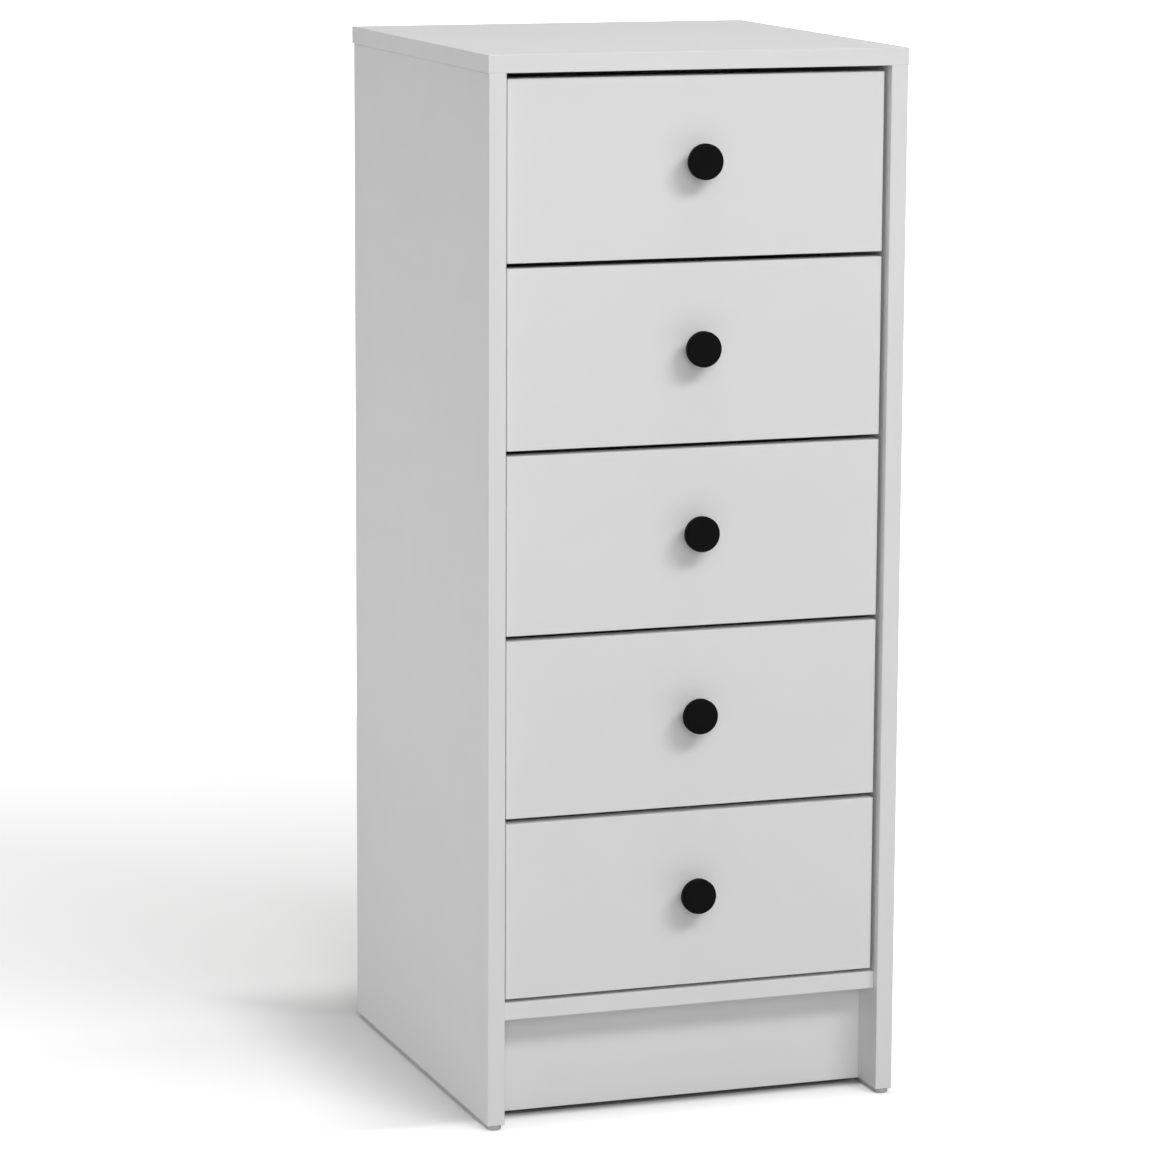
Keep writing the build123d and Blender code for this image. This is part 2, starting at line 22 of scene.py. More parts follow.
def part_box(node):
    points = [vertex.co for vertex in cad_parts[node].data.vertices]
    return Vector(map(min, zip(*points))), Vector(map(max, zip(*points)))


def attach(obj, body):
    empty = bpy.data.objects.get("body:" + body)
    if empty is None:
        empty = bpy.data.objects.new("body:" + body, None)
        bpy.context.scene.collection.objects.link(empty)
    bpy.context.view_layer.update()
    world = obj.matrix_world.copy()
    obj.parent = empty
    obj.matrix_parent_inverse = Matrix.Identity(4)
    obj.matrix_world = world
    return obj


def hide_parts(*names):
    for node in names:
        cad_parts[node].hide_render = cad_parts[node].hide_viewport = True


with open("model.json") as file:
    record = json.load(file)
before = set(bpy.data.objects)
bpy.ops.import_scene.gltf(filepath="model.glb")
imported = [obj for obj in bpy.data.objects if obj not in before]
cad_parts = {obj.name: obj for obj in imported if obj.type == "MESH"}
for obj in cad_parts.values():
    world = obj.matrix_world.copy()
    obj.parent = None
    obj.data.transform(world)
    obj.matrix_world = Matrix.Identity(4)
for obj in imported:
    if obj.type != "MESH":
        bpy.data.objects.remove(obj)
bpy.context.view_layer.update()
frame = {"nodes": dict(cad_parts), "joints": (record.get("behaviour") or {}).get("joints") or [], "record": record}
LOG = logging.getLogger("chest")

DRAWER_COUNT = 5
MM = 0.001
MERGE_DISTANCE = 0.001 * MM
SAME_PLACE = 0.01 * MM
RUNNER_WEB = 1.0 * MM
WHITE = (1.0, 1.0, 1.0, 1.0)

Colour = tuple[float, float, float]
Triple = tuple[float, float, float]


class Slot(Enum):
    """Material slots of the record."""

    WHITE_BOARD = "white_board"
    HARDBOARD = "hardboard"
    BLACK_KNOB = "black_knob"
    RUNNER_STEEL = "runner_steel"
    ZINC = "zinc_fittings"
    NYLON = "nylon_roller"
    GLIDE = "glide_plastic"
    BEECH = "beech_dowel"


class Facing(Enum):
    """Outward directions of a board's faces."""

    BACK = (0.0, 1.0, 0.0)
    FRONT = (0.0, -1.0, 0.0)
    DOWN = (0.0, 0.0, -1.0)
    LEFT = (-1.0, 0.0, 0.0)
    RIGHT = (1.0, 0.0, 0.0)


class Slope(Enum):
    """How a result runs between the ends of its range."""

    STRAIGHT = "LINEAR"
    EASED = "SMOOTHSTEP"


class Tree:
    """Node tree, with short methods for the nodes that the finishes and the studio share."""

    def __init__(self, tree: bpy.types.NodeTree) -> None:
        """Keep the tree's nodes and links."""
        self.nodes = tree.nodes
        self.links = tree.links

    def between(self, value: bpy.types.NodeSocket, low: float, high: float, start: float = 0.3,
                end: float = 0.7, slope: Slope = Slope.STRAIGHT) -> bpy.types.NodeSocket:
        """Spread a value over a range.

        Args:
            value: The socket to spread.
            low: Result at start.
            high: Result at end.
            start: Value that gives low. The least of soft noise is about the default.
            end: Value that gives high. The most of soft noise is about the default.
            slope: How the result runs from low to high.

        Returns:
            The socket of the result, held within low and high.
        """
        node = self.nodes.new("ShaderNodeMapRange")
        node.interpolation_type = slope.value
        for socket, number in zip(("From Min", "From Max", "To Min", "To Max"), (start, end, low, high)):
            node.inputs[socket].default_value = number
        self.links.new(value, node.inputs["Value"])
        return node.outputs["Result"]

    def combine(self, operation: str, first: bpy.types.NodeSocket,
                second: bpy.types.NodeSocket | float) -> bpy.types.NodeSocket:
        """Combine two numbers.

        Args:
            operation: Name of the Math node's operation.
            first: Socket of the first number.
            second: Second number, or its socket.

        Returns:
            The socket of the result.
        """
        node = self.nodes.new("ShaderNodeMath")
        node.operation = operation
        self.links.new(first, node.inputs[0])
        if isinstance(second, bpy.types.NodeSocket):
            self.links.new(second, node.inputs[1])
        else:
            node.inputs[1].default_value = second
        return node.outputs[0]

    def gather(self, operation: str, numbers: Iterable[bpy.types.NodeSocket]) -> bpy.types.NodeSocket:
        """Combine any count of numbers by one operation, from the first to the last."""
        return functools.reduce(functools.partial(self.combine, operation), numbers)


class Pattern(Tree):
    """Node tree of one material, with the patterns that the finishes share."""

    facing_least: float = 0.9

    def __init__(self, name: str, constants: dict[str, float]) -> None:
        """Start a material.

        Args:
            name: Name of the material.
            constants: Values that are the same all over, by the shader's socket name.
        """
        self.material = bpy.data.materials.new(name)
        self.material.use_nodes = True
        super().__init__(self.material.node_tree)
        self.shader = self.nodes["Principled BSDF"]
        self.coordinates = self.nodes.new("ShaderNodeTexCoord")
        for socket, value in constants.items():
            self.shader.inputs[socket].default_value = value

    def place(self, stretch: Triple = (1.0, 1.0, 1.0)) -> bpy.types.NodeSocket:
        """Object coordinates, stretched along each axis.

        Args:
            stretch: How many times longer the pattern is along x, y and z.

        Returns:
            The socket of the stretched coordinates.
        """
        mapping = self.nodes.new("ShaderNodeMapping")
        mapping.inputs["Scale"].default_value = [1.0 / length for length in stretch]
        self.links.new(self.coordinates.outputs["Object"], mapping.inputs["Vector"])
        return mapping.outputs["Vector"]

    def noise(self, size: float, detail: float,
              stretch: Triple = (1.0, 1.0, 1.0)) -> bpy.types.NodeSocket:
        """Soft noise.

        Args:
            size: Width of the largest blotches.
            detail: How many finer layers are added.
            stretch: How many times longer the blotches are along x, y and z.

        Returns:
            The socket of the noise, about 0.3 to 0.7.
        """
        node = self.nodes.new("ShaderNodeTexNoise")
        node.inputs["Scale"].default_value = 1.0 / size
        node.inputs["Detail"].default_value = detail
        self.links.new(self.place(stretch), node.inputs["Vector"])
        return node.outputs[0]

    def cells(self, size: float, stretch: Triple = (1.0, 1.0, 1.0)) -> bpy.types.NodeSocket:
        """Flat cells, each with a value of its own.

        Args:
            size: Width of a cell.
            stretch: How many times longer the cells are along x, y and z.

        Returns:
            The socket of the cells' values, 0 to 1.
        """
        node = self.nodes.new("ShaderNodeTexVoronoi")
        node.inputs["Scale"].default_value = 1.0 / size
        self.links.new(self.place(stretch), node.inputs["Vector"])
        split = self.nodes.new("ShaderNodeSeparateColor")
        self.links.new(node.outputs["Color"], split.inputs["Color"])
        return split.outputs[0]

    def mix(self, factor: bpy.types.NodeSocket, first: bpy.types.NodeSocket | Colour,
            second: bpy.types.NodeSocket | Colour) -> bpy.types.NodeSocket:
        """Mix two colours.

        Args:
            factor: Socket of the share of the second colour.
            first: Colour, or the socket of one.
            second: Colour, or the socket of one.

        Returns:
            The socket of the mixed colour.
        """
        node = self.nodes.new("ShaderNodeMix")
        node.data_type = "RGBA"
        factor_in, first_in, second_in = (
            next(s for s in node.inputs if s.enabled and s.name == name) for name in ("Factor", "A", "B"))
        self.links.new(factor, factor_in)
        for socket, colour in ((first_in, first), (second_in, second)):
            if isinstance(colour, bpy.types.NodeSocket):
                self.links.new(colour, socket)
            else:
                socket.default_value = (*colour, 1.0)
        return next(s for s in node.outputs if s.enabled)

    def facing(self, direction: Facing) -> bpy.types.NodeSocket:
        """Where the surface faces a direction.

        Args:
            direction: The outward direction looked for.

        Returns:
            The socket of a mask, 1 on faces turned that way.
        """
        dot = self.nodes.new("ShaderNodeVectorMath")
        dot.operation = "DOT_PRODUCT"
        dot.inputs[1].default_value = direction.value
        self.links.new(self.coordinates.outputs["Normal"], dot.inputs[0])
        return self.combine("GREATER_THAN", dot.outputs["Value"], self.facing_least)

    def feed(self, socket: str, source: bpy.types.NodeSocket) -> None:
        """Link a source to one of the shader's sockets."""
        self.links.new(source, self.shader.inputs[socket])

    def emboss(self, height: bpy.types.NodeSocket, depth: float) -> None:
        """Bump the surface.

        Args:
            height: Socket of the height, from 0 to 1.
            depth: How far a height of 1 rises.
        """
        node = self.nodes.new("ShaderNodeBump")
        node.inputs["Distance"].default_value = depth
        self.links.new(height, node.inputs["Height"])
        self.feed("Normal", node.outputs["Normal"])


@dataclass(frozen=True)
class Chipboard:
    """Bare core of a faced board: pressed wood flakes, seen on edges that have no tape."""

    pale: Colour = (0.50, 0.36, 0.22)
    dark: Colour = (0.26, 0.16, 0.085)
    flake: float = 1.6 * MM
    flake_stretch: Triple = (1.0, 3.0, 1.0)

    def colour(self, pattern: Pattern) -> bpy.types.NodeSocket:
        """Flake colours, each flake with a tone of its own."""
        return pattern.mix(pattern.cells(self.flake, self.flake_stretch), self.pale, self.dark)


@dataclass(frozen=True)
class Melamine:
    """White melamine facing: a fine pearl grain, faint clouding and a satin sheen."""

    name: str
    bare: tuple[Facing, ...] = ()
    colour: Colour = (0.765, 0.765, 0.770)
    clouded: Colour = (0.750, 0.750, 0.757)
    cloud: float = 0.16
    cloud_detail: float = 3.0
    pearl: float = 0.9 * MM
    pearl_detail: float = 2.0
    pearl_depth: float = 0.008 * MM
    sheen: tuple[float, float] = (0.50, 0.58)
    sheen_patches: float = 6.0
    sheen_detail: float = 4.0
    specular: float = 0.4
    core: Chipboard = Chipboard()

    def material(self) -> bpy.types.Material:
        """Make the material, with the core showing on the bare edges.

        Returns:
            The material.
        """
        pattern = Pattern(self.name, {"Specular IOR Level": self.specular})
        cloud = pattern.between(pattern.noise(self.cloud, self.cloud_detail), 0.0, 1.0)
        colour = pattern.mix(cloud, self.colour, self.clouded)
        for direction in self.bare:
            colour = pattern.mix(pattern.facing(direction), colour, self.core.colour(pattern))
        pattern.feed("Base Color", colour)
        sheen = pattern.noise(self.cloud / self.sheen_patches, self.sheen_detail)
        pattern.feed("Roughness", pattern.between(sheen, *self.sheen))
        pattern.emboss(pattern.noise(self.pearl, self.pearl_detail), self.pearl_depth)
        return pattern.material


@dataclass(frozen=True)
class Hardboard:
    """Thin pressed fibre board: white lacquer on the face seen in use and bare brown fibre on the other."""

    name: str
    bare: Facing
    lacquer: Colour = (0.745, 0.745, 0.742)
    lacquer_worn: Colour = (0.715, 0.715, 0.708)
    pale: Colour = (0.335, 0.208, 0.112)
    dark: Colour = (0.215, 0.122, 0.060)
    shred: Colour = (0.42, 0.28, 0.165)
    fibre: float = 2.4 * MM
    fibre_detail: float = 6.0
    fleck_share: float = 1.5
    fleck_stretch: Triple = (1.0, 1.0, 5.0)
    fleck_range: tuple[float, float] = (0.60, 0.70)
    cloud: float = 45.0 * MM
    cloud_share: float = 0.45
    detail: float = 3.0
    depth: float = 0.03 * MM
    ior: float = 1.48
    lacquer_roughness: float = 0.44
    fibre_roughness: float = 0.78

    def material(self) -> bpy.types.Material:
        """Make the material.

        Returns:
            The material.
        """
        pattern = Pattern(self.name, {"IOR": self.ior})
        bare = pattern.facing(self.bare)
        fine = pattern.noise(self.fibre, self.fibre_detail)
        cloud = pattern.between(pattern.noise(self.cloud, self.detail), 0.0, 1.0)
        fleck = pattern.noise(self.fibre / self.fleck_share, self.detail, self.fleck_stretch)
        fleck = pattern.between(fleck, 0.0, 1.0, *self.fleck_range)
        brown = pattern.mix(pattern.between(fine, 0.0, 1.0), self.pale, self.dark)
        brown = pattern.mix(pattern.combine("MULTIPLY", cloud, self.cloud_share), brown, self.dark)
        brown = pattern.mix(fleck, brown, self.shred)
        white = pattern.mix(cloud, self.lacquer, self.lacquer_worn)
        pattern.feed("Base Color", pattern.mix(bare, white, brown))
        roughness = pattern.between(bare, self.lacquer_roughness, self.fibre_roughness, 0.0, 1.0)
        pattern.feed("Roughness", roughness)
        pattern.emboss(fine, self.depth)
        return pattern.material


@dataclass(frozen=True)
class Moulded:
    """Moulded plastic: an even colour with a faint flow mottle and a fine spark-eroded grain."""

    name: str
    colour: Colour
    mottled: Colour
    roughness: tuple[float, float]
    specular: float = 0.5
    mottle: float = 9.0 * MM
    grain: float = 0.5 * MM
    detail: float = 3.0
    depth: float = 0.006 * MM

    def material(self) -> bpy.types.Material:
        """Make the material.

        Returns:
            The material.
        """
        pattern = Pattern(self.name, {"Specular IOR Level": self.specular})
        mottle = pattern.between(pattern.noise(self.mottle, self.detail), 0.0, 1.0)
        pattern.feed("Base Color", pattern.mix(mottle, self.colour, self.mottled))
        grain = pattern.noise(self.grain, self.detail)
        pattern.feed("Roughness", pattern.between(grain, *self.roughness))
        pattern.emboss(grain, self.depth)
        return pattern.material


@dataclass(frozen=True)
class CoatedSteel:
    """White powder coat on rolled steel: a soft orange peel with a satin gloss."""

    name: str
    colour: Colour = (0.74, 0.74, 0.73)
    thin: Colour = (0.69, 0.69, 0.685)
    peel: float = 1.8 * MM
    detail: float = 1.0
    depth: float = 0.02 * MM
    ior: float = 1.5
    roughness: tuple[float, float] = (0.26, 0.40)

    def material(self) -> bpy.types.Material:
        """Make the material.

        Returns:
            The material.
        """
        pattern = Pattern(self.name, {"IOR": self.ior})
        peel = pattern.noise(self.peel, self.detail)
        pattern.feed("Base Color", pattern.mix(pattern.between(peel, 0.0, 1.0), self.colour, self.thin))
        pattern.feed("Roughness", pattern.between(peel, *self.roughness))
        pattern.emboss(peel, self.depth)
        return pattern.material


@dataclass(frozen=True)
class ZincPlate:
    """Bright zinc plating: cool grey metal with a cast grain and duller patches."""

    name: str
    bright: Colour = (0.46, 0.47, 0.49)
    dull: Colour = (0.34, 0.35, 0.37)
    patch: float = 2.5 * MM
    patch_detail: float = 3.0
    grain: float = 0.4 * MM
    grain_detail: float = 2.0
    depth: float = 0.012 * MM
    roughness: tuple[float, float] = (0.24, 0.46)

    def material(self) -> bpy.types.Material:
        """Make the material.

        Returns:
            The material.
        """
        pattern = Pattern(self.name, {"Metallic": 1.0})
        patch = pattern.noise(self.patch, self.patch_detail)
        pattern.feed("Base Color", pattern.mix(pattern.between(patch, 0.0, 1.0), self.bright, self.dull))
        pattern.feed("Roughness", pattern.between(patch, *self.roughness))
        pattern.emboss(pattern.noise(self.grain, self.grain_detail), self.depth)
        return pattern.material


@dataclass(frozen=True)
class Beech:
    """Plain beech: short flecks along a straight grain."""

    name: str
    pale: Colour = (0.62, 0.43, 0.26)
    dark: Colour = (0.46, 0.29, 0.16)
    grain: float = 1.2 * MM
    detail: float = 4.0
    stretch: Triple = (6.0, 1.0, 6.0)
    depth: float = 0.03 * MM
    roughness: float = 0.62

    def material(self) -> bpy.types.Material:
        """Make the material.

        Returns:
            The material.
        """
        pattern = Pattern(self.name, {"Roughness": self.roughness})
        grain = pattern.noise(self.grain, self.detail, self.stretch)
        pattern.feed("Base Color", pattern.mix(pattern.between(grain, 0.0, 1.0), self.pale, self.dark))
        pattern.emboss(grain, self.depth)
        return pattern.material


class Wardrobe:
    """Every finish of the chest, made once and put on solids and pieces."""

    def __init__(self) -> None:
        """Make the materials and note which slot each solid takes."""
        self.slots = {row["node"]: Slot(row["material_slot"]) for row in frame["record"]["subparts"]}
        self.plain = {
            Slot.WHITE_BOARD: Melamine("white_melamine").material(),
            Slot.HARDBOARD: Hardboard("hardboard_base", Facing.DOWN).material(),
            Slot.BLACK_KNOB: Moulded("black_knob_plastic", (0.0026, 0.0026, 0.0027), (0.0036, 0.0036, 0.0037),
                                     (0.50, 0.62), specular=0.035).material(),
            Slot.RUNNER_STEEL: CoatedSteel("white_runner_coat").material(),
            Slot.ZINC: ZincPlate("zinc_plate").material(),
            Slot.NYLON: Moulded("natural_nylon", (0.74, 0.74, 0.70), (0.69, 0.69, 0.64),
                                (0.34, 0.46)).material(),
            Slot.GLIDE: Moulded("grey_glide_plastic", (0.46, 0.46, 0.46), (0.41, 0.41, 0.41),
                                (0.42, 0.55)).material(),
            Slot.BEECH: Beech("beech").material(),
        }
        standing = Melamine("white_melamine_standing", (Facing.BACK,)).material()
        self.special = {
            "left_side_panel": standing,
            "right_side_panel": standing,
            "back_panel": Hardboard("hardboard_back", Facing.BACK).material(),
        }

    def dress(self, node: str) -> None:
        """Put a solid's finish in place of its plain materials.

        Args:
            node: Name of the solid's node.
        """
        material = self.special.get(node) or self.plain[self.slots[node]]
        mesh = frame["nodes"][node].data
        mesh.materials.clear()
        mesh.materials.append(material)
        LOG.info("dressed %s in %s", node, material.name)

    def cover(self, piece: bpy.types.Object, slot: Slot) -> None:
        """Put the finish of a slot on a new piece."""
        piece.data.materials.append(self.plain[slot])


def finished(bm: bmesh.types.BMesh, name: str, body: str) -> bpy.types.Object:
    """Turn a bmesh into a smooth piece that rides on a body.

    Args:
        bm: The shape, in place in the frame. It is freed.
        name: Name of the piece.
        body: Name of the body that carries it.

    Returns:
        The new object, at the origin.
    """
    bmesh.ops.remove_doubles(bm, verts=bm.verts, dist=MERGE_DISTANCE)
    bmesh.ops.recalc_face_normals(bm, faces=bm.faces)
    for face in bm.faces:
        face.smooth = True
    mesh = bpy.data.meshes.new(name)
    bm.to_mesh(mesh)
    bm.free()
    piece = bpy.data.objects.new(name, mesh)
    bpy.context.scene.collection.objects.link(piece)
    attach(piece, body)
    LOG.info("made %s on %s: %d faces", name, body, len(mesh.polygons))
    return piece


def turned_to(direction: Vector, place: Vector) -> Matrix:
    """Matrix that lays a shape's z axis along a direction, with its origin at a place."""
    return Matrix.Translation(place) @ direction.to_track_quat("Z", "Y").to_matrix().to_4x4()


@dataclass
class Knob:
    """Round knob: a small foot, a drawn-in neck and a flat head with a rounded rim."""

    number: int
    foot_radius: float = 8.0 * MM
    foot_height: float = 1.5 * MM
    neck_pull: float = 4.4 * MM
    head_depth: float = 8.0 * MM
    rim_round: float = 2.0 * MM
    neck_points: int = 12
    turns: int = 96
    rim_steps: int = 6

    def build(self, wardrobe: Wardrobe) -> None:
        """Turn the knob where its solid is, and let it stand for that solid.

        Args:
            wardrobe: The finishes.
        """
        node = f"drawer_{self.number}_knob"
        low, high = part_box(node)
        radius = (high.x - low.x) / 2
        projection = high.y - low.y
        foot = Vector(((low.x + high.x) / 2, high.y, (low.z + high.z) / 2))
        bm = bmesh.new()
        rim = self.turn(bm, radius, projection)
        bmesh.ops.bevel(bm, geom=rim, offset=self.rim_round, offset_type="OFFSET", segments=self.rim_steps,
                        profile=0.5, affect="EDGES", material=-1)
        bmesh.ops.transform(bm, matrix=turned_to(Vector(Facing.FRONT.value), foot), verts=bm.verts)
        piece = finished(bm, f"knob_{self.number}", f"drawer_{self.number}")
        wardrobe.cover(piece, Slot.BLACK_KNOB)
        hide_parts(node)

    def turn(self, bm: bmesh.types.BMesh, radius: float, projection: float) -> list[bmesh.types.BMEdge]:
        """Spin the outline round the z axis.

        Args:
            bm: Where the shape is made.
            radius: Radius of the head.
            projection: Height of the face over the foot.

        Returns:
            The two circles of edges at the head's rim.
        """
        head_low = projection - self.head_depth
        foot_edge = Vector((self.foot_radius, 0.0, self.foot_height))
        flare = Vector((radius - self.rim_round, 0.0, head_low))
        neck = interpolate_bezier(foot_edge, foot_edge + Vector((-self.neck_pull, 0.0, self.neck_pull)),
                                  flare - Vector((self.neck_pull, 0.0, 0.0)) * 2, flare, self.neck_points)
        outline = [Vector((0.0, 0.0, 0.0)), Vector((self.foot_radius, 0.0, 0.0)), *neck,
                   Vector((radius, 0.0, head_low)), Vector((radius, 0.0, projection)),
                   Vector((0.0, 0.0, projection))]
        verts = [bm.verts.new(point) for point in outline]
        edges = [bm.edges.new(pair) for pair in zip(verts, verts[1:])]
        bmesh.ops.spin(bm, geom=verts + edges, cent=(0, 0, 0), axis=(0, 0, 1), angle=math.tau,
                       steps=self.turns, use_merge=True)
        bmesh.ops.remove_doubles(bm, verts=bm.verts, dist=MERGE_DISTANCE)
        return [edge for edge in bm.edges
                if all(abs(v.co.xy.length - radius) < SAME_PLACE for v in edge.verts)
                and edge.calc_length() < radius
                and abs(edge.verts[0].co.z - edge.verts[1].co.z) < SAME_PLACE]


@dataclass
class ScrewHeads:
    """Low countersunk screw heads with a cross recess."""

    name: str
    body: str
    places: list[tuple[Vector, Vector]] = field(default_factory=list)
    radius: float = 3.6 * MM
    rise: float = 0.5 * MM
    sink: float = 0.2 * MM
    face_share: float = 0.86
    arm: float = 1.9 * MM
    arm_half: float = 0.42 * MM
    recess: float = 1.1 * MM
    grid_faces: int = 5

    def add(self, place: Vector, out: Vector) -> None:
        """Note a screw at a place on a face, with the direction out of the face."""
        self.places.append((place, out))

    def build(self, wardrobe: Wardrobe) -> None:
        """Make every head of the group as one piece.

        Args:
            wardrobe: The finishes.
        """
        bm = bmesh.new()
        for place, out in self.places:
            head = self.head()
            head.transform(turned_to(out, place))
            shape = bpy.data.meshes.new("screw_head")
            head.to_mesh(shape)
            head.free()
            bm.from_mesh(shape)
            bpy.data.meshes.remove(shape)
        wardrobe.cover(finished(bm, self.name, self.body), Slot.ZINC)

    def head(self) -> bmesh.types.BMesh:
        """Shape one head at the origin, facing +z, from a grid of faces that reaches from -1 to 1.

        Returns:
            The bmesh of the head.
        """
        bm = bmesh.new()
        bmesh.ops.create_grid(bm, x_segments=self.grid_faces, y_segments=self.grid_faces, size=1.0)
        cross = [face for face in bm.faces if self.in_cross(face.calc_center_median())]
        for vert in bm.verts:
            self.lay(vert)
        sunk = bmesh.ops.extrude_face_region(bm, geom=cross)["geom"]
        bottom = [v for v in sunk if isinstance(v, bmesh.types.BMVert)]
        bmesh.ops.translate(bm, vec=(0, 0, -self.recess), verts=bottom)
        bmesh.ops.delete(bm, geom=cross, context="FACES")
        for radius, height in ((self.radius, self.rise / 4), (self.radius, -self.sink)):
            rim = [edge for edge in bm.edges if edge.is_boundary]
            made = bmesh.ops.extrude_edge_only(bm, edges=rim)["geom"]
            for vert in (v for v in made if isinstance(v, bmesh.types.BMVert)):
                vert.co = vert.co.xy.normalized().to_3d() * radius + Vector((0, 0, height))
        return bm

    @property
    def cell(self) -> float:
        """Width of one face of the grid."""
        return 2.0 / self.grid_faces

    def in_cross(self, middle: Vector) -> bool:
        """Whether a face of the grid is the middle one or one of the four beside it."""
        near, far = sorted((abs(middle.x), abs(middle.y)))
        return near < self.cell / 2 and far < self.cell * 1.5

    def lay(self, vert: bmesh.types.BMVert) -> None:
        """Move a corner of the grid to its place on the head's face.

        Args:
            vert: The corner. Those on the grid's border go to the edge of the face.
        """
        reach = max(abs(vert.co.x), abs(vert.co.y))
        if reach > 1.0 - self.cell / 2:
            flat = vert.co.xy.normalized() * self.radius * self.face_share
        else:
            flat = Vector([math.copysign(self.arm if abs(c) > self.cell else self.arm_half, c)
                           for c in vert.co.xy])
        vert.co = (flat.x, flat.y, self.rise)


@dataclass
class BackPins:
    """Panel pins that hold the back to the sides and to the bottom."""

    head_radius: float = 1.7 * MM
    head_height: float = 0.6 * MM
    sink: float = 0.2 * MM
    soften: float = 0.25 * MM
    soften_steps: int = 2
    pitch: float = 95.0 * MM
    end_inset: float = 25.0 * MM
    segments: int = 14

    def build(self, wardrobe: Wardrobe) -> None:
        """Make every pin head as one piece on the cabinet.

        Args:
            wardrobe: The finishes.
        """
        bm = bmesh.new()
        for place in self.places():
            made = bmesh.ops.create_cone(
                bm, cap_ends=True, segments=self.segments, radius1=self.head_radius, radius2=self.head_radius,
                depth=self.head_height + self.sink, matrix=turned_to(Vector(Facing.BACK.value), place))
            top = [edge for vert in made["verts"] for edge in vert.link_edges
                   if all(v.co.y > place.y for v in edge.verts)]
            bmesh.ops.bevel(bm, geom=list(set(top)), offset=self.soften, offset_type="OFFSET",
                            segments=self.soften_steps, profile=0.5, affect="EDGES", material=-1)
        wardrobe.cover(finished(bm, "back_panel_pins", "cabinet"), Slot.ZINC)

    def places(self) -> list[Vector]:
        """Middles of the pin heads, along both sides and along the bottom.

        Returns:
            A place for each pin.
        """
        low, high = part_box("back_panel")
        side_low, side_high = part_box("right_side_panel")
        bottom_low, bottom_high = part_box("bottom_panel")
        y = high.y + (self.head_height - self.sink) / 2
        side_x = (side_low.x + side_high.x) / 2
        heights = evenly(low.z + self.end_inset, high.z - self.end_inset, self.pitch)
        places = [Vector((side * side_x, y, z)) for side in (-1, 1) for z in heights]
        bottom_z = (bottom_low.z + bottom_high.z) / 2
        reach = bottom_high.x - self.end_inset
        return places + [Vector((x, y, bottom_z)) for x in evenly(-reach, reach, self.pitch)]


def evenly(start: float, end: float, pitch: float) -> list[float]:
    """Values from start to end, evenly spaced at about a pitch."""
    steps = max(1, round((end - start) / pitch))
    return [start + (end - start) * step / steps for step in range(steps + 1)]


def screw_places(start: float, end: float, inset: float = 35.0 * MM) -> list[float]:
    """Places of the punched screw holes along a runner: near both ends and in the middle."""
    return [start + inset, (start + end) / 2, end - inset]


@dataclass
class Drawer:
    """One drawer: its solids, its knob and the screws of its runners."""

    number: int

    def build(self, wardrobe: Wardrobe) -> None:
        """Dress the drawer's solids and add what the solids leave out.

        Args:
            wardrobe: The finishes.
        """
        name = f"drawer_{self.number}"
        for body in (name, f"{name}_rear_rollers", f"{name}_front_rollers"):
            for node in frame["record"]["behaviour"]["bodies"][body]:
                wardrobe.dress(node)
        Knob(self.number).build(wardrobe)
        self.runner_screws().build(wardrobe)

    def runner_screws(self) -> ScrewHeads:
        """Screws through the webs of the drawer's runners into its sides.

        Returns:
            The group of screw heads.
        """
        name = f"drawer_{self.number}"
        heads = ScrewHeads(f"{name}_runner_screws", name)
        low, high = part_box(f"{name}_runners")
        _, side_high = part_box(f"{name}_right_side")
        for direction in (Facing.LEFT, Facing.RIGHT):
            out = Vector(direction.value)
            for y in screw_places(low.y, high.y):
                heads.add(Vector((out.x * (side_high.x + RUNNER_WEB), y, (low.z + high.z) / 2)), out)
        return heads


@dataclass
class Cabinet:
    """The carcass: its solids, the pins of the back and the screws of the cabinet runners."""

    body: str = "cabinet"

    def build(self, wardrobe: Wardrobe) -> None:
        """Dress the carcass and add its small fasteners.

        Args:
            wardrobe: The finishes.
        """
        for node in frame["record"]["behaviour"]["bodies"][self.body]:
            wardrobe.dress(node)
        BackPins().build(wardrobe)
        self.runner_screws().build(wardrobe)

    def runner_screws(self) -> ScrewHeads:
        """Screws through the webs of the cabinet runners into the sides.

        Returns:
            The group of screw heads.
        """
        heads = ScrewHeads("cabinet_runner_screws", self.body)
        low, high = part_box("cabinet_runners")
        for joint in frame["joints"]:
            if not joint["name"].endswith("rear_roller_spin"):
                continue
            for direction in (Facing.LEFT, Facing.RIGHT):
                out = -Vector(direction.value)
                for y in screw_places(low.y, high.y):
                    heads.add(Vector((-out.x * (high.x - RUNNER_WEB), y, joint["pos_m"][2])), out)
        return heads


@dataclass(frozen=True)
class Softbox:
    """A soft lamp that hangs round the chest and points at its middle."""

    name: str
    azimuth: float
    elevation: float
    distance: float
    width: float
    height: float
    watts: float

    def hang(self, aim: Vector) -> None:
        """Hang the lamp.

        Args:
            aim: What it points at. Azimuth 0 is in front of that point and 90 to its right.
        """
        turn, rise = math.radians(self.azimuth), math.radians(self.elevation)
        towards = Vector((math.sin(turn) * math.cos(rise), -math.cos(turn) * math.cos(rise),
                          math.sin(rise)))
        data = bpy.data.lights.new(self.name, "AREA")
        data.energy = self.watts
        data.shape = "RECTANGLE"
        data.size = self.width
        data.size_y = self.height
        lamp = bpy.data.objects.new(self.name, data)
        lamp.location = aim + towards * self.distance
        lamp.visible_camera = False
        lamp.rotation_mode = "QUATERNION"
        lamp.rotation_quaternion = (-towards).to_track_quat("-Z", "Y")
        bpy.context.scene.collection.objects.link(lamp)
        LOG.info("hung %s", self.name)


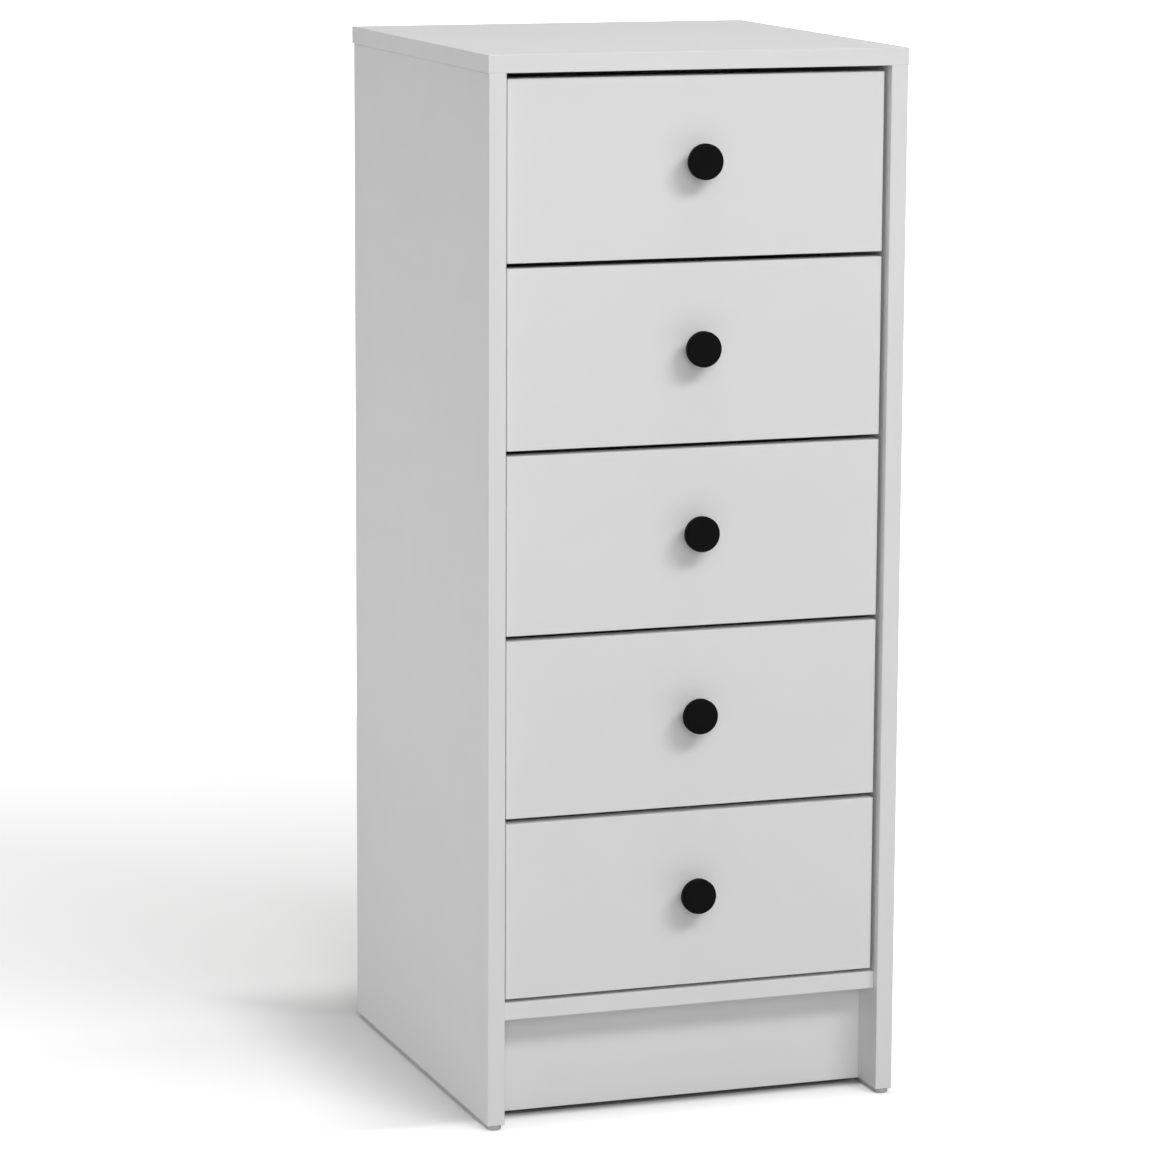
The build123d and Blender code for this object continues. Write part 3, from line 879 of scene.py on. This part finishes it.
@dataclass(frozen=True)
class SideGlow:
    """Glow of the floor that grows with the distance past one side of the chest."""

    side: Facing
    start: float
    end: float
    gain: float


@dataclass
class Studio:
    """Pale floor, soft light and the camera at the photo's angle.

    The glow whitens the floor for the rays that show the background and lights nothing. It starts dark_inset
    inside the chest's footprint, reaches foot_glow at its edge, and adds up to white at far_reach. Behind the
    plinth's face the floor's colour is darkened as painted shade: the painted shade tone is the share of the
    colour that is left there, fading in over the painted shade reach.
    """

    floor_size: float = 60.0
    floor_roughness: float = 0.9
    floor_tone: float = 0.90
    bounce_tone: float = 0.55
    # Painted shade on the floor behind the plinth's face: the share of the floor's colour left there, and the
    # distances over which it darkens.
    painted_shade_tone: float = 0.40
    painted_shade_reach: tuple[float, float] = (-0.013, 0.017)
    foot_glow: float = 0.020
    near_glow: float = 0.313
    dark_inset: float = 0.039
    near_reach: float = 0.142
    far_reach: float = 2.54
    side_glows: tuple[SideGlow, ...] = (
        SideGlow(Facing.FRONT, -0.041, -0.027, 0.11),
        SideGlow(Facing.FRONT, -0.056, 0.043, 0.37),
        SideGlow(Facing.RIGHT, -0.005, 0.030, 0.60),
        SideGlow(Facing.BACK, -0.052, 0.037, 0.045),
    )
    sky_strength: float = 0.143
    aim_height: float = 0.50
    softboxes: tuple[Softbox, ...] = (
        Softbox("key_light", 22.0, 37.5, 4.5, 2.2, 0.95, 75.0),
        Softbox("high_light", -10.0, 37.5, 5.5, 2.6, 1.0, 22.5),
        Softbox("fill_light", -15.0, 14.0, 5.5, 2.0, 2.0, 69.0),
        Softbox("left_light", -95.0, -6.0, 1.8, 0.55, 0.55, 8.1),
        Softbox("top_light", 0.0, 90.0, 2.8, 2.4, 2.4, 24.0),
    )
    camera_place: Triple = (-1.3885, -3.8546, 1.1706)
    camera_forward: Triple = (0.32540, 0.92875, -0.17757)
    camera_roll: float = 0.28
    focal_pixels: float = 4730.7
    image_pixels: float = 1162.0
    sensor: float = 36.0
    view_reach: float = 100.0

    def build(self) -> None:
        """Set up the floor, the light and the camera."""
        self.floor()
        self.sky()
        for softbox in self.softboxes:
            softbox.hang(Vector((0.0, 0.0, self.aim_height)))
        self.camera()
        bpy.context.scene.view_settings.view_transform = "Standard"

    def seen(self, tree: Tree) -> bpy.types.NodeSocket:
        """Mask of the rays that show the background: camera, glossy and transmission rays.

        Args:
            tree: Node tree to add the nodes to.

        Returns:
            The socket of the mask.
        """
        path = tree.nodes.new("ShaderNodeLightPath").outputs
        rays = ("Is Camera Ray", "Is Glossy Ray", "Is Transmission Ray")
        return tree.gather("MAXIMUM", [path[name] for name in rays])

    def beyond(self, tree: Tree, low: Vector, high: Vector) -> dict[Facing, bpy.types.NodeSocket]:
        """Distance of a point of the floor past each side of a rectangle.

        Args:
            tree: Node tree to add the nodes to.
            low: Corner at the left and front of the rectangle.
            high: Corner at the right and back of the rectangle.

        Returns:
            The socket of the distance for each side, below 0 inside the rectangle.
        """
        split = tree.nodes.new("ShaderNodeSeparateXYZ")
        tree.links.new(tree.nodes.new("ShaderNodeTexCoord").outputs["Object"], split.inputs[0])
        x, y, _ = split.outputs
        past_left = tree.combine("SUBTRACT", x, low.x)
        past_front = tree.combine("SUBTRACT", y, low.y)
        return {Facing.RIGHT: tree.combine("SUBTRACT", x, high.x),
                Facing.LEFT: tree.combine("MULTIPLY", past_left, -1.0),
                Facing.BACK: tree.combine("SUBTRACT", y, high.y),
                Facing.FRONT: tree.combine("MULTIPLY", past_front, -1.0)}

    def glow(self, tree: Tree, beyond: dict[Facing, bpy.types.NodeSocket]) -> bpy.types.NodeSocket:
        """Strength of the floor's glow.

        Args:
            tree: Node tree to add the nodes to.
            beyond: Distance past each side of the chest.

        Returns:
            The socket of the strength.
        """
        distance = tree.gather("MAXIMUM", beyond.values())
        rises = [(distance, -self.dark_inset, 0.0, self.foot_glow),
                 (distance, 0.0, self.near_reach, self.near_glow - self.foot_glow),
                 (distance, 0.0, self.far_reach, 1.0 - self.near_glow)]
        rises += [(beyond[glow.side], glow.start, glow.end, glow.gain) for glow in self.side_glows]
        return tree.gather("ADD", [tree.between(value, 0.0, gain, start, end, Slope.EASED)
                                   for value, start, end, gain in rises])

    def floor(self) -> None:
        """A wide pale floor that fades to plain white away from the chest, keeps the shadow near it, and has
        painted shade behind the plinth's face.
        """
        bm = bmesh.new()
        bmesh.ops.create_grid(bm, x_segments=1, y_segments=1, size=self.floor_size / 2)
        mesh = bpy.data.meshes.new("studio_floor")
        bm.to_mesh(mesh)
        bm.free()
        plane = bpy.data.objects.new("studio_floor", mesh)
        bpy.context.scene.collection.objects.link(plane)
        material = bpy.data.materials.new("studio_floor")
        material.use_nodes = True
        tree = Tree(material.node_tree)
        shader = tree.nodes["Principled BSDF"].inputs
        shader["Roughness"].default_value = self.floor_roughness
        shader["Specular IOR Level"].default_value = 0.0
        shader["Emission Color"].default_value = WHITE
        low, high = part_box("left_side_panel")[0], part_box("right_side_panel")[1]
        inner_low, inner_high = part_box("plinth")
        glow = self.glow(tree, self.beyond(tree, low, high))
        behind_plinth = self.beyond(tree, inner_low, Vector((inner_high.x, high.y, inner_high.z)))
        cover = tree.gather("MAXIMUM", behind_plinth.values())
        seen = self.seen(tree)
        tone = tree.between(seen, self.bounce_tone, self.floor_tone, 0.0, 1.0, Slope.EASED)
        # Painted shade: behind the plinth's face the floor's colour is darkened, for every ray.
        shade = tree.between(cover, self.painted_shade_tone, 1.0, *self.painted_shade_reach, Slope.EASED)
        tree.links.new(tree.combine("MULTIPLY", tone, shade), shader["Base Color"])
        tree.links.new(tree.combine("MULTIPLY", glow, seen), shader["Emission Strength"])
        mesh.materials.append(material)

    def sky(self) -> None:
        """An even sky that shows as plain white behind the chest."""
        world = bpy.data.worlds.new("studio_sky")
        bpy.context.scene.world = world
        world.use_nodes = True
        tree = Tree(world.node_tree)
        background = tree.nodes["Background"].inputs
        background["Color"].default_value = WHITE
        strength = tree.between(self.seen(tree), self.sky_strength, 1.0, 0.0, 1.0, Slope.EASED)
        tree.links.new(strength, background["Strength"])

    def camera(self) -> None:
        """The camera that the photo was taken with, as fitted to the chest's edges."""
        data = bpy.data.cameras.new("photo_camera")
        data.sensor_width = self.sensor
        data.lens = self.focal_pixels * self.sensor / self.image_pixels
        data.clip_end = self.view_reach
        camera = bpy.data.objects.new("photo_camera", data)
        camera.location = self.camera_place
        camera.rotation_mode = "QUATERNION"
        roll = Quaternion((0.0, 0.0, 1.0), math.radians(self.camera_roll))
        camera.rotation_quaternion = Vector(self.camera_forward).to_track_quat("-Z", "Y") @ roll
        bpy.context.scene.collection.objects.link(camera)
        bpy.context.scene.camera = camera


def main() -> None:
    """Dress the chest from the carcass to the drawers, and set the studio round it."""
    logging.basicConfig(level=logging.INFO, format="%(name)s: %(message)s")
    wardrobe = Wardrobe()
    Cabinet().build(wardrobe)
    for number in range(1, DRAWER_COUNT + 1):
        Drawer(number).build(wardrobe)
    Studio().build()


if __name__ == "__main__":
    main()
